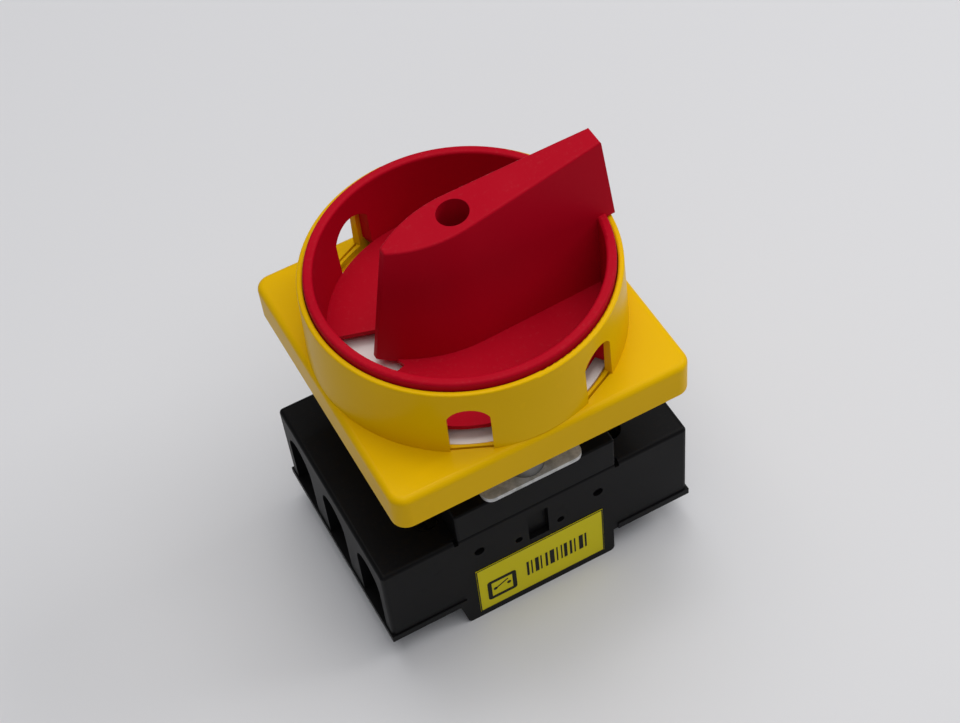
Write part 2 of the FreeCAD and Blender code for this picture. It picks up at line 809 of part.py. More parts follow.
def make_contact_carrier():
    finger_depth = "2"
    first = f"{bridge_back(-1)} - bow_depth - {finger_depth}"
    last = f"{bridge_back(1)} - bow_depth"
    top = block(
        "carrier_plate",
        ("0 - carrier_length/2", "carrier_length/2"),
        (first, f"{last} + 1"),
        (CARRIER_LOW, CARRIER_TOP),
    )
    parts = [top]
    for pole in POLES:
        back = f"{bridge_back(pole)} - bow_depth"
        finger = block(
            f"carrier_finger_{pole + 2}",
            ("-4.5", "4.5"),
            (f"{back} - {finger_depth}", back),
            (below(CONTACT_LOW, "0.5"), CARRIER_LOW),
        )
        parts.append(finger)
    reach = "pin_radius + pin_gap"
    slot = block(
        "carrier_slot",
        (f"0 - crank_radius - ({reach})", f"0 - crank_radius * cos(45) + ({reach})"),
        (
            f"0 - crank_radius * sin(45) - ({reach})",
            f"0 - crank_radius * sin(45) + ({reach})",
        ),
        (below(CARRIER_LOW, "1"), above(CARRIER_TOP, "1")),
    )
    keep(cut("contact_carrier", together("carrier_blank", parts), [slot]), "contact_carrier")


def make_moving_contacts():
    z = (CONTACT_LOW, above(CONTACT_LOW, "contact_height"))
    for pole in POLES:
        back = bridge_back(pole)
        bar = block(
            f"bridge_bar_{pole + 2}",
            ("0 - bridge_length/2", "bridge_length/2"),
            (back, f"{back} + contact_thickness"),
            z,
        )
        keep(bar, f"moving_contact_{pole + 2}")


def make_contact_springs():
    """Bow springs between the carrier's fingers and the bridges."""
    for pole in POLES:
        body = new_body(f"contact_spring_{pole + 2}")
        drawn = new_sketch(body, f"bow_{pole + 2}", offset=above(CONTACT_LOW, "0.6"))
        foot = f"{bridge_back(pole)} - bow_depth"
        crown = f"{bridge_back(pole)} - bow_thickness"
        profile(
            drawn,
            [
                ("-3.8", foot),
                ("-1.8", crown),
                ("1.8", crown),
                ("3.8", foot),
                ("3.8", f"{foot} + bow_thickness"),
                ("1.9", f"{crown} + bow_thickness"),
                ("-1.9", f"{crown} + bow_thickness"),
                ("-3.8", f"{foot} + bow_thickness"),
            ],
        )
        pad(body, f"bow_pad_{pole + 2}", drawn, "contact_height - 1.2")
        keep(body, f"contact_spring_{pole + 2}")


def make_fixed_contacts():
    """An angle from each terminal to a tip beside the bridge."""
    z = (CONTACT_LOW, above(CONTACT_LOW, "contact_height"))
    for end, sign in ENDS.items():
        for pole in POLES:
            name = f"{end}_contact_{pole + 2}"
            near, far = "terminal_x - terminal_length/2", "contact_tip"
            foot = f"({near} - contact_thickness)"
            face = f"{pole_y(pole)} + contact_offset"
            x_foot = (foot, near) if sign > 0 else (f"0 - ({near})", f"0 - {foot}")
            x_tip = (far, near) if sign > 0 else (f"0 - ({near})", f"0 - {far}")
            y_foot = (f"{pole_y(pole)} - 2.5", f"{face} + contact_thickness")
            y_tip = (face, f"{face} + contact_thickness")
            parts = [block(name + "_foot", x_foot, y_foot, z), block(name + "_tip", x_tip, y_tip, z)]
            keep(together(name + "_angle", parts), name)


def make_terminals():
    low = above(BASE_FLOOR, "0.3")
    for end, sign in ENDS.items():
        for pole in POLES:
            name = f"{end}_terminal_{pole + 2}"
            x, y = f"{sign} * terminal_x", pole_y(pole)
            blank = centred(
                name + "_block", "terminal_length", "terminal_width", (low, TERMINAL_TOP), x, y
            )
            half = "terminal_length/2 + 1"
            wire = rod(
                name + "_wire", "wire_radius", (f"{x} - ({half})", f"{x} + {half}"), y=y, z=WIRE_AXIS, axis="x"
            )
            thread = rod(name + "_thread", "screw_radius", (WIRE_AXIS, above(TERMINAL_TOP, "1")), x, y)
            keep(cut(name + "_cut", blank, [wire, thread]), name)


def make_terminal_screws():
    head_low = above(TERMINAL_TOP, "clamp_lift")
    head_top = above(head_low, "clamp_head")
    screws = []
    for end, sign in ENDS.items():
        for pole in POLES:
            name = f"{end}_screw_{pole + 2}"
            x, y = f"{sign} * terminal_x", pole_y(pole)
            head = rod(name + "_head", "clamp_radius", (head_low, head_top), x, y)
            tip = above(WIRE_AXIS, "wire_radius")
            shank = rod(name + "_shank", "screw_radius", (tip, head_low), x, y)
            tools = cross_slot(name, "clamp_radius", "clamp_head * 0.6", head_top, x, y)
            screws.append(cut(name, together(name + "_blank", [head, shank]), tools))
    keep(group("terminal_screw_set", screws), "terminal_screws")


# ---------------------------------------------------------------- housing
def make_terminal_base():
    body = new_body("terminal_base")
    outline = new_sketch(body, "base_outline", offset=BASE_FLOOR)
    middle_rectangle(outline, "body_length", "body_width")
    pad(body, "base_pad", outline, "base_height")
    round_edges(body, "base_corners", "body_round", is_upright)
    round_edges(body, "base_top_edge", "body_round", lambda e: lies_at(e, SHOULDER))

    chambers = new_sketch(body, "chambers", offset=BASE_FLOOR)
    middle_rectangle(chambers, "2*mid_chamber", "body_width - 2*case_wall")
    depth = "base_height - case_wall"
    pocket(body, "mid_chamber_cut", chambers, depth, along_normal=True)
    pockets = new_sketch(body, "terminal_chambers", offset=BASE_FLOOR)
    for sign in ENDS.values():
        for pole in POLES:
            low, high = "mid_chamber - 0.1", "body_length/2 - end_wall"
            x = (low, high) if sign > 0 else (f"0 - ({high})", f"0 - ({low})")
            width = "pole_pitch - barrier"
            rectangle(pockets, x, (f"{pole_y(pole)} - ({width})/2", f"{pole_y(pole)} + ({width})/2"))
    pocket(body, "terminal_chambers_cut", pockets, depth, along_normal=True)

    mouths = new_sketch(body, "wire_mouths", "YZ_Plane")
    straight = "mouth_height - mouth_width/2"
    for pole in POLES:
        arch(mouths, pole_y(pole), "mouth_width", BASE_FLOOR, straight, "mouth_width/2 - 0.01")
    pocket(body, "wire_mouths_cut", mouths, "body_length + 2", both_ways=True)

    posts = new_sketch(body, "tie_posts", offset=BASE_FLOOR)
    for x in ("-post_x", "post_x"):
        for y in ("-pole_pitch/2", "pole_pitch/2"):
            circle(posts, "post_radius", x, y)
    pad(body, "tie_posts_pad", posts, depth)
    holes = new_sketch(body, "tie_bores", offset=BASE_FLOOR)
    for x in ("-post_x", "post_x"):
        for y in ("-pole_pitch/2", "pole_pitch/2"):
            circle(holes, "tie_radius", x, y)
    pocket(body, "tie_bores_cut", holes, "base_height", along_normal=True)
    top_holes = new_sketch(body, "driver_holes", offset=SHOULDER)
    circle(top_holes, "rotor_hub + running_gap")
    for sign in ENDS.values():
        for pole in POLES:
            circle(top_holes, "driver_hole", f"{sign} * terminal_x", pole_y(pole))
    pocket(body, "driver_holes_cut", top_holes, "case_wall + 0.5")

    dimples = new_sketch(body, "dimples", "XZ_Plane", "body_width/2")
    for sign in (-1, 1):
        circle(dimples, "dimple_radius", f"{sign} * 13", below(SHOULDER, "6.5"))
        circle(dimples, "small_dimple", f"{sign} * 4.6", below(SHOULDER, "9.3"))
    front = pocket(body, "dimples_cut", dimples, "dimple_depth")
    slot = new_sketch(body, "clip_slot", "XZ_Plane", "body_width/2")
    middle_rectangle(slot, "slot_width", "slot_height", "-0.2", below(SHOULDER, "3.1 + slot_height/2"))
    shallow = pocket(body, "clip_slot_cut", slot, "case_wall - 0.8")
    notches = new_sketch(body, "corner_notches", "XZ_Plane", "body_width/2")
    for sign in (-1, 1):
        middle_rectangle(notches, "0.9", "1.6", f"{sign} * (block_length/2 + 0.3)", below(SHOULDER, "0.4"))
    corner = pocket(body, "corner_notches_cut", notches, "1.2")
    twice_round(body, "both_sides", [front, shallow, corner])
    keep(body, "terminal_base")


def make_base_plate():
    length, width = "body_length + 2*plate_lip", "body_width + 2*plate_lip"
    slab = centred("base_slab", length, width, (BASE_LOW, BASE_FLOOR))
    tools = []
    for sign in (-1, 1):
        inner, outer = "body_width/2", "body_width/2 + 2"
        y = (inner, outer) if sign > 0 else (f"0 - ({outer})", f"0 - ({inner})")
        x = ("0 - block_length/2", "block_length/2")
        tools.append(block(f"flush_side_{sign + 2}", x, y, (below(BASE_LOW, "1"), above(BASE_FLOOR, "1"))))
        span = (below(BASE_LOW, "1"), above(BASE_FLOOR, "1"))
        for pole in (-1, 1):
            x, y = f"{sign} * post_x", f"{pole} * pole_pitch/2"
            name = f"tie_hole_{sign + 2}_{pole + 2}"
            tools.append(rod(name, "tie_radius", span, x, y))
            seat = (below(BASE_LOW, "1"), above(BASE_LOW, "tie_head_height"))
            tools.append(rod(name + "_seat", "tie_head + 0.1", seat, x, y))
        boss_hole = (below(BASE_LOW, "1"), above(BASE_FLOOR, "1"))
        tools.append(rod(f"foot_tie_hole_{sign + 2}", "tie_radius", boss_hole, f"{sign} * 10"))
    keep(cut("base_plate_cut", slab, tools), "base_plate")


def make_housing_screws():
    seat = above(BASE_LOW, "tie_head_height")
    screws = []
    for number, (sign, side) in enumerate([(-1, -1), (-1, 1), (1, -1), (1, 1)], start=1):
        x, y = f"{sign} * post_x", f"{side} * pole_pitch/2"
        name = f"tie_screw_{number}"
        head = rod(name + "_head", "tie_head", (above(BASE_LOW, "0.02"), seat), x, y)
        shank = rod(name + "_shank", "tie_radius", (seat, above(SHOULDER, "block_height - 2")), x, y)
        tools = cross_slot_below(name, "tie_head", "0.6", above(BASE_LOW, "0.02"), x, y)
        screws.append(cut(name, together(name + "_blank", [head, shank]), tools))
    keep(group("tie_screw_set", screws), "housing_screws")


def cross_slot_below(name, radius, depth, low, x="0", y="0"):
    """The crossing slots of a screw head that faces down."""
    z = (below(low, "1"), above(low, depth))
    length, width = f"({radius}) * 1.3", f"({radius}) * 0.28"
    return [
        centred(name + "_slot_a", length, width, z, x, y),
        centred(name + "_slot_b", width, length, z, x, y),
    ]


# ---------------------------------------------------------------- foot
LATCH_LOW = "hook_thickness + 0.05"
LATCH_HIGH = above(LATCH_LOW, "latch_thickness")
LATCH_BACK = "body_width/2 + latch_tab"


def make_rail_foot():
    body = new_body("rail_foot")
    outline = new_sketch(body, "foot_outline", "XZ_Plane", "0 - body_width/2")
    profile(
        outline,
        [
            ("0 - block_length/2", "0"),
            ("foot_right", "0"),
            ("foot_right", "foot_height"),
            ("0 - block_length/2 - foot_slope", "foot_height"),
        ],
    )
    pad(body, "foot_pad", outline, "body_width")

    def low_long_edge(edge):
        return lies_at(edge, "0") and edge.BoundBox.YLength > 10

    round_edges(body, "foot_low_edge", "body_round * 1.2", low_long_edge)
    groove = new_sketch(body, "rail_groove", "YZ_Plane")
    half = "rail_width/2"
    ceiling = "hook_thickness + rail_flange"
    rectangle(groove, (f"0 - {half}", half), ("hook_thickness", ceiling))
    pocket(body, "rail_groove_cut", groove, "block_length + 6", both_ways=True)
    throat = new_sketch(body, "rail_throat", "YZ_Plane")
    rectangle(throat, (f"hook_reach - {half}", half), ("-1", "hook_thickness + 0.1"))
    pocket(body, "rail_throat_cut", throat, "block_length + 6", both_ways=True)
    guide = new_sketch(body, "latch_guide", "XZ_Plane", "0 - body_width")
    wide = "latch_width + 2*latch_gap"
    rectangle(
        guide,
        (f"0 - ({wide})/2", f"({wide})/2"),
        (below(LATCH_LOW, "0.03"), above(LATCH_HIGH, "0.05")),
    )
    pocket(body, "latch_guide_cut", guide, f"body_width - ({half}) + 0.5", along_normal=True)
    nose_room = new_sketch(body, "nose_room", offset="0")
    rectangle(
        nose_room,
        (f"0 - ({wide})/2", f"({wide})/2"),
        (f"{half} - 1", f"{half} + latch_travel + 0.9"),
    )
    pocket(body, "nose_room_cut", nose_room, "hook_thickness + 0.5", along_normal=True)
    spring_room = new_sketch(body, "spring_room", offset=above(LATCH_HIGH, "0"))
    rectangle(spring_room, ("-1.2", "1.2"), (f"{half} + 0.4", "body_width/2 - 0.8"))
    pocket(body, "spring_room_cut", spring_room, "1.2", along_normal=True)
    stop = new_sketch(body, "spring_stop", offset=below(LATCH_LOW, "0.5"))
    rectangle(stop, ("-1", "1"), ("body_width/2 - 1.3", "body_width/2 - 0.3"))
    pad(body, "spring_stop_pad", stop, "latch_thickness + 1")
    ties = new_sketch(body, "foot_ties", offset="foot_height")
    for sign in (-1, 1):
        circle(ties, "tie_radius", f"{sign} * 10", "0")
    pocket(body, "foot_ties_cut", ties, "foot_height")
    seats = new_sketch(body, "foot_tie_seats", offset=ceiling)
    for sign in (-1, 1):
        circle(seats, "tie_head + 0.1", f"{sign} * 10", "0")
    pocket(body, "foot_tie_seats_cut", seats, "tie_head_height + 0.3", along_normal=True)
    keep(body, "rail_foot")


def make_foot_screws():
    ceiling = "hook_thickness + rail_flange"
    low = above(ceiling, "0.2")
    seat = above(ceiling, "tie_head_height + 0.3")
    screws = []
    for sign in (-1, 1):
        x = f"{sign} * 10"
        name = f"foot_screw_{sign + 2}"
        head = rod(name + "_head", "tie_head", (low, seat), x)
        shank = rod(name + "_shank", "tie_radius", (seat, above(BASE_FLOOR, "2.5")), x)
        tools = cross_slot_below(name, "tie_head", "0.6", low, x)
        screws.append(cut(name, together(name + "_blank", [head, shank]), tools))
    keep(group("foot_screw_set", screws), "foot_screws")


def make_rail_latch():
    half = "rail_width/2"
    x = ("0 - latch_width/2", "latch_width/2")
    slide = block("latch_slide", x, (f"{half} + 0.1", LATCH_BACK), (LATCH_LOW, LATCH_HIGH))
    nose = block("latch_nose", x, (f"{half} - hook_reach", f"{half} + 0.8"), ("0.4", "hook_thickness - 0.1"))
    root = block("latch_root", x, (f"{half} + 0.1", f"{half} + 0.8"), ("hook_thickness - 0.2", LATCH_HIGH))
    window = block(
        "latch_window",
        ("-1.3", "1.3"),
        (f"{half} + 1.1", f"body_width/2 - 0.3 + latch_travel + 0.3"),
        (below(LATCH_LOW, "1"), above(LATCH_HIGH, "1")),
    )
    driver = block(
        "latch_driver_slot",
        ("-2", "2"),
        (f"{LATCH_BACK} - 1.2", f"{LATCH_BACK} - 0.5"),
        (below(LATCH_LOW, "1"), above(LATCH_HIGH, "1")),
    )
    keep(cut("rail_latch_cut", together("latch_blank", [slide, nose, root]), [window, driver]), "rail_latch")


def make_latch_spring():
    """A coil along Y between the latch's window and the foot's stop."""
    start = value_of("rail_width/2 + 1.1 + 0.02")
    stop = value_of("body_width/2 - 1.3 - 0.02")
    wire = 0.2
    turns = 4
    coil_radius = 0.85
    length = stop - start - 2 * wire
    helix = Part.makeHelix(length / turns, length, coil_radius)
    section = Part.Wire(Part.makeCircle(wire, Vector(coil_radius, 0, 0), Vector(0, 1, 0.1)))
    coil = Part.Wire(helix).makePipeShell([section], True, True)
    spring = doc.addObject("Part::Feature", "latch_coil")
    spring.Shape = Part.Solid(coil) if coil.ShapeType != "Solid" else coil
    middle = value_of(f"({LATCH_LOW} + {LATCH_HIGH}) / 2")
    spring.Placement = Placement(Vector(0, start + wire, middle), Rotation(Vector(1, 0, 0), -90))
    keep(spring, "latch_spring")


def make_side_label():
    face = "0 - body_width/2"
    label = block(
        "label_sheet",
        ("-0.4 - label_length/2", "-0.4 + label_length/2"),
        (f"{face} - label_thickness", face),
        (below(SHOULDER, "12.8 + label_height"), below(SHOULDER, "12.8")),
    )
    keep(label, "side_label")


# ---------------------------------------------------------------- build
make_front_plate()
make_knob()
make_knob_screw()
make_legend_disc()
make_ring("shaft_seal", "hub_radius + running_gap", SEAL_RADIUS, below(RECESS, "seal_thickness"), RECESS)
gasket_low = below(PLATE_REAR, "gasket_proud")
make_ring("panel_gasket", f"{GASKET_OUTER} - gasket_width", GASKET_OUTER, gasket_low, WEB_LOW)
make_plate_screws()
make_spacer_sleeves()
make_mounting_strip()
make_mechanism_housing()
make_drive_shaft()
make_drive_rotor()
make_detent_springs()
make_contact_carrier()
make_moving_contacts()
make_contact_springs()
make_fixed_contacts()
make_terminals()
make_terminal_screws()
make_terminal_base()
make_base_plate()
make_housing_screws()
make_rail_foot()
make_foot_screws()
make_rail_latch()
make_latch_spring()
make_side_label()
doc.recompute()

failed = [thing.Name for thing in doc.Objects if {"Invalid", "Error"} & set(thing.State)]
if failed:
    raise RuntimeError(f"features that failed: {failed}")
for thing in nodes:
    if thing.Shape.isNull() or not thing.Shape.isValid() or not thing.Shape.Solids:
        raise RuntimeError(f"{thing.Label} has no valid solid")

os.makedirs("parts", exist_ok=True)
for thing in nodes:
    thing.Shape.exportStep(os.path.join("parts", thing.Label + ".step"))
print(f"{len(nodes)} sub-parts written")
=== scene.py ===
"""Looks of the rotary isolator switch: finishes for every piece, the print on it, and a studio."""

import json
import math

import bpy
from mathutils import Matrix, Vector

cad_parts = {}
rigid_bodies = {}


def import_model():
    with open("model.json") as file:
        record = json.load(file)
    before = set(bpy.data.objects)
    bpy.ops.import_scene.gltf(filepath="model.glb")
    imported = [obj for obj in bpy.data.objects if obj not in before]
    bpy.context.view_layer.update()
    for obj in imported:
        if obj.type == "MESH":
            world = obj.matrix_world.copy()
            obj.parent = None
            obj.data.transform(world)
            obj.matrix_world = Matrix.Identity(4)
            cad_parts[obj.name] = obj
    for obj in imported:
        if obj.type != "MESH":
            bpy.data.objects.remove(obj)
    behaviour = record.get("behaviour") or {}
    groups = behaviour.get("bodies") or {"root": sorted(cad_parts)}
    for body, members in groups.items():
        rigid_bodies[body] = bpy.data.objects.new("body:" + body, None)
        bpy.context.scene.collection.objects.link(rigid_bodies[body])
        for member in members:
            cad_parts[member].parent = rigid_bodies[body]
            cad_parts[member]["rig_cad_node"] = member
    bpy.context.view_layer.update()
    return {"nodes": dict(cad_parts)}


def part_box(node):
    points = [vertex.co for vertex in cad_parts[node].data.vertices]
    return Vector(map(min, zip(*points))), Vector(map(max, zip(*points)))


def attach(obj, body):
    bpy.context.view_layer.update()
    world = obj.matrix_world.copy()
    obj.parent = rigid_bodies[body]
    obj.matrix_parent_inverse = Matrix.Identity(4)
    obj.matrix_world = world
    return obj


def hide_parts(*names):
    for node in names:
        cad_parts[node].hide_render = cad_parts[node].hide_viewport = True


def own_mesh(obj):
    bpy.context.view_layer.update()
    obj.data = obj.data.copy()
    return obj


bl_info = {
    "name": "Rotary isolator switch",
    "version": (1, 0, 0),
    "blender": (4, 5, 0),
    "location": "3D View > Sidebar > Switch",
    "description": "Finishes and print for a rotary isolator switch, and a studio to show it in",
    "category": "Object",
}

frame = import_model()
MM = 0.001
POLES = (1, 2, 3)

# Print on the legend disc
INK_ON_DISC = 0.05 * MM
NUMBER_RADIUS = 21.0 * MM
NUMBER_HALF_HEIGHT = 2.4 * MM
NUMBER_HALF_WIDTH = 1.5 * MM
NUMBER_STROKE = 0.55 * MM
# The 1 stands this much further out than the 0
ONE_FURTHER_OUT = 1.1

# Print on the side label
BORDER_EDGE = 0.05 * MM
BORDER_WIDTH = 0.22 * MM
SYMBOL_SIDE = 6.4 * MM
SYMBOL_FROM_LEFT = 2.0 * MM
SYMBOL_FROM_BELOW = 2.6 * MM
SYMBOL_CORNER = 0.7 * MM
SYMBOL_FRAME = 0.9 * MM
STUD_RADIUS = 0.45 * MM
STUD_FROM_SIDE = 1.7 * MM
BLADE_LENGTH = 3.0 * MM
BLADE_WIDTH = 0.35 * MM
BLADE_RISE = 0.75 * MM
BLADE_TILT = math.radians(28)
BARS_FROM_LEFT = 10.8 * MM
BARS_FROM_BELOW = 4.6 * MM
BARS_FROM_ABOVE = 5.2 * MM
BAR_WIDTHS = (0.5, 0.3, 0.8, 0.3, 0.5, 1.0, 0.3, 0.3, 0.7, 0.5, 0.3, 0.9, 0.4)
BAR_GAPS = (0.5, 0.6, 0.4, 0.8, 0.5, 0.5, 0.7, 0.4, 0.6, 0.5, 0.8, 0.4, 0.5)

# Studio: name, place, size, power in watts and colour of each light
LIGHTS = (
    ("ceiling_light", (0.12, 0.0, 1.30), 1.9, 12.6, (1.0, 0.99, 0.98)),
    ("ceiling_lamp", (0.10, 0.20, 1.15), 0.35, 1.2, (1.0, 0.98, 0.95)),
    ("side_light", (0.90, -0.10, 0.75), 0.6, 3.4, (1.0, 0.99, 0.97)),
    ("front_light", (-0.55, -0.85, 0.60), 0.5, 0.4, (0.97, 0.98, 1.0)),
)
LIGHTS_AIM = (0, 0, 0.04)
SKY_COLOUR = (0.93, 0.95, 1.0, 1.0)
SKY_STRENGTH = 0.18
FLOOR_SIDE = 6.0
FRAME_WIDTH = 960
CAMERA_SHIFT_Y = -2.15 / FRAME_WIDTH


# ---------------------------------------------------------------- properties
def colour(name, description, default):
    return bpy.props.FloatVectorProperty(
        name=name, description=description, default=default, subtype="COLOR", min=0, max=1, size=3
    )


def length(name, description, default):
    return bpy.props.FloatProperty(
        name=name, description=description, default=default, subtype="DISTANCE", unit="LENGTH"
    )


class HandleLook(bpy.types.PropertyGroup):
    red: colour("Handle red", "Colour of the moulded handle", (0.455, 0.0018, 0.0145))
    yellow: colour("Plate yellow", "Colour of the front plate and its collar", (0.80, 0.475, 0.0004))
    white: colour("Legend white", "Colour of the disc under the handle", (0.88, 0.86, 0.84))
    grain: length("Grain", "Size of the moulded grain on the handle", 0.25 * MM)


class BodyLook(bpy.types.PropertyGroup):
    black: colour("Body black", "Colour of the terminal body and its foot", (0.0050, 0.0048, 0.0054))
    zinc: colour("Zinc", "Colour of the plated strip", (0.70, 0.70, 0.70))


class LabelLook(bpy.types.PropertyGroup):
    film: colour("Label film", "Colour of the label's ground", (0.70, 0.60, 0.004))
    ink: colour("Label ink", "Colour of the label's print", (0.012, 0.012, 0.010))
    ink_height: length("Ink height", "Thickness of the print", 0.04 * MM)


class StudioLook(bpy.types.PropertyGroup):
    floor: colour("Floor", "Colour of the floor", (0.74, 0.745, 0.77))
    camera_place: bpy.props.FloatVectorProperty(
        name="Camera place",
        description="Where the camera stands",
        default=(-0.084886, -0.208249, 0.334469),
        subtype="TRANSLATION",
        unit="LENGTH",
    )
    camera_turn: bpy.props.FloatVectorProperty(
        name="Camera turn",
        description="How the camera is turned",
        default=tuple(math.radians(a) for a in (37.888, 4.453, -28.264)),
        subtype="EULER",
        unit="ROTATION",
    )
    focal: bpy.props.FloatProperty(name="Focal length", description="In millimetres", default=72.73)


LOOKS = {
    "switch_handle": HandleLook,
    "switch_body": BodyLook,
    "switch_label": LabelLook,
    "switch_studio": StudioLook,
}


# ---------------------------------------------------------------- node groups
def new_group(name, inputs, outputs):
    """An empty shader group with float or colour sockets; inputs give each one's default."""
    group = bpy.data.node_groups.new(name, "ShaderNodeTree")
    for socket, default in inputs.items():
        kind = "NodeSocketColor" if isinstance(default, tuple) else "NodeSocketFloat"
        made = group.interface.new_socket(socket, in_out="INPUT", socket_type=kind)
        made.default_value = default
    for socket, kind in outputs.items():
        group.interface.new_socket(socket, in_out="OUTPUT", socket_type=kind)
    return group, group.nodes.new("NodeGroupInput"), group.nodes.new("NodeGroupOutput")


def noise(tree, vector, scale, detail=2.0, roughness=0.5):
    """A noise texture; its scale is a number or another node's output."""
    node = tree.nodes.new("ShaderNodeTexNoise")
    node.inputs["Scale"].default_value = scale if isinstance(scale, (int, float)) else 1.0
    if not isinstance(scale, (int, float)):
        tree.links.new(scale, node.inputs["Scale"])
    node.inputs["Detail"].default_value = detail
    node.inputs["Roughness"].default_value = roughness
    tree.links.new(vector, node.inputs["Vector"])
    return node


def ramp(tree, value, low, high):
    """Stretches low..high of the value to 0..1."""
    node = tree.nodes.new("ShaderNodeMapRange")
    node.inputs["From Min"].default_value = low
    node.inputs["From Max"].default_value = high
    tree.links.new(value, node.inputs["Value"])
    return node.outputs["Result"]


def maths(tree, operation, first, second):
    """A Math node's output; each input is a number or another node's output."""
    node = tree.nodes.new("ShaderNodeMath")
    node.operation = operation
    for socket, value in zip(node.inputs, (first, second)):
        if isinstance(value, (int, float)):
            socket.default_value = value
        else:
            tree.links.new(value, socket)
    return node.outputs[0]


def grain_group():
    """Height of a spark-eroded mould's grain, with a little slow waviness."""
    group, given, out = new_group(
        "Moulded grain", {"Scale": 4000.0, "Waviness": 0.25}, {"Height": "NodeSocketFloat"}
    )
    place = group.nodes.new("ShaderNodeTexCoord").outputs["Object"]
    fine = noise(group, place, given.outputs["Scale"], 3.0, 0.6).outputs["Fac"]
    slow = noise(group, place, 90.0, 1.0).outputs["Fac"]
    waves = maths(group, "MULTIPLY", slow, given.outputs["Waviness"])
    group.links.new(maths(group, "ADD", fine, waves), out.inputs["Height"])
    return group


def drift_group():
    """Slow change of a colour's depth over a moulding."""
    group, given, out = new_group(
        "Colour drift", {"Colour": (0.5, 0.5, 0.5, 1.0), "Amount": 0.06}, {"Colour": "NodeSocketColor"}
    )
    place = group.nodes.new("ShaderNodeTexCoord").outputs["Object"]
    wide = ramp(group, noise(group, place, 35.0, 2.0).outputs["Fac"], 0.3, 0.7)
    shift = maths(group, "MULTIPLY", maths(group, "SUBTRACT", wide, 0.5), given.outputs["Amount"])
    bright = maths(group, "ADD", shift, 1.0)
    tint = group.nodes.new("ShaderNodeHueSaturation")
    group.links.new(given.outputs["Colour"], tint.inputs["Color"])
    group.links.new(bright, tint.inputs["Value"])
    group.links.new(tint.outputs["Color"], out.inputs["Colour"])
    return group


def scuff_group():
    """Mask of the short fine scratches that handling leaves."""
    group, given, out = new_group(
        "Handling scuffs", {"Scale": 260.0, "Cover": 0.5}, {"Mask": "NodeSocketFloat"}
    )
    place = group.nodes.new("ShaderNodeTexCoord").outputs["Object"]
    masks = []
    for turn in (0.4, 1.3, 2.4):
        mapping = group.nodes.new("ShaderNodeMapping")
        mapping.inputs["Rotation"].default_value = (turn, turn * 1.7, turn * 0.6)
        mapping.inputs["Scale"].default_value = (1.0, 14.0, 1.0)
        group.links.new(place, mapping.inputs["Vector"])
        streak = noise(group, mapping.outputs["Vector"], given.outputs["Scale"], 1.0).outputs["Fac"]
        masks.append(ramp(group, streak, 0.70, 0.78))
    streaks = maths(group, "MAXIMUM", maths(group, "MAXIMUM", masks[0], masks[1]), masks[2])
    patch = ramp(group, noise(group, place, 60.0, 2.0).outputs["Fac"], 0.45, 0.65)
    mask = maths(group, "MULTIPLY", maths(group, "MULTIPLY", streaks, patch), given.outputs["Cover"])
    group.links.new(mask, out.inputs["Mask"])
    return group


def dust_group():
    """Mask of fine dust that lies on what faces up."""
    group, given, out = new_group("Settled dust", {"Amount": 0.1}, {"Mask": "NodeSocketFloat"})
    place = group.nodes.new("ShaderNodeTexCoord").outputs["Object"]
    normal = group.nodes.new("ShaderNodeNewGeometry").outputs["Normal"]
    split = group.nodes.new("ShaderNodeSeparateXYZ")
    group.links.new(normal, split.inputs["Vector"])
    up = ramp(group, split.outputs["Z"], 0.35, 0.95)
    specks = ramp(group, noise(group, place, 1400.0, 2.0, 0.7).outputs["Fac"], 0.58, 0.72)
    film = ramp(group, noise(group, place, 70.0, 3.0).outputs["Fac"], 0.3, 0.8)
    both = maths(group, "ADD", maths(group, "MULTIPLY", specks, 0.7), maths(group, "MULTIPLY", film, 0.3))
    mask = maths(group, "MULTIPLY", maths(group, "MULTIPLY", both, up), given.outputs["Amount"])
    group.links.new(mask, out.inputs["Mask"])
    return group


GROUP_MAKERS = {
    "Moulded grain": grain_group,
    "Colour drift": drift_group,
    "Handling scuffs": scuff_group,
    "Settled dust": dust_group,
}


def placed_group(tree, name, **values):
    """A copy of the named group in the material, built the first time that it is asked for."""
    group = bpy.data.node_groups.get(name) or GROUP_MAKERS[name]()
    node = tree.nodes.new("ShaderNodeGroup")
    node.node_tree = group
    for socket, value in values.items():
        node.inputs[socket].default_value = value
    return node


def mix_colour(tree, mask, first, second):
    """First where the mask is 0, second where it is 1."""
    node = tree.nodes.new("ShaderNodeMix")
    node.data_type = "RGBA"
    tree.links.new(mask, node.inputs["Factor"])
    for socket, value in ((node.inputs[6], first), (node.inputs[7], second)):
        if isinstance(value, tuple):
            socket.default_value = value
        else:
            tree.links.new(value, socket)
    return node.outputs[2]


def new_material(name):
    material = bpy.data.materials.new(name)
    material.use_nodes = True
    tree = material.node_tree
    shader = tree.nodes["Principled BSDF"]
    return material, tree, shader


def bump(tree, shader, height, strength, distance):
    node = tree.nodes.new("ShaderNodeBump")
    node.inputs["Strength"].default_value = strength
    node.inputs["Distance"].default_value = distance
    tree.links.new(height, node.inputs["Height"])
    tree.links.new(node.outputs["Normal"], shader.inputs["Normal"])


def rgba(value):
    return (*value, 1.0)


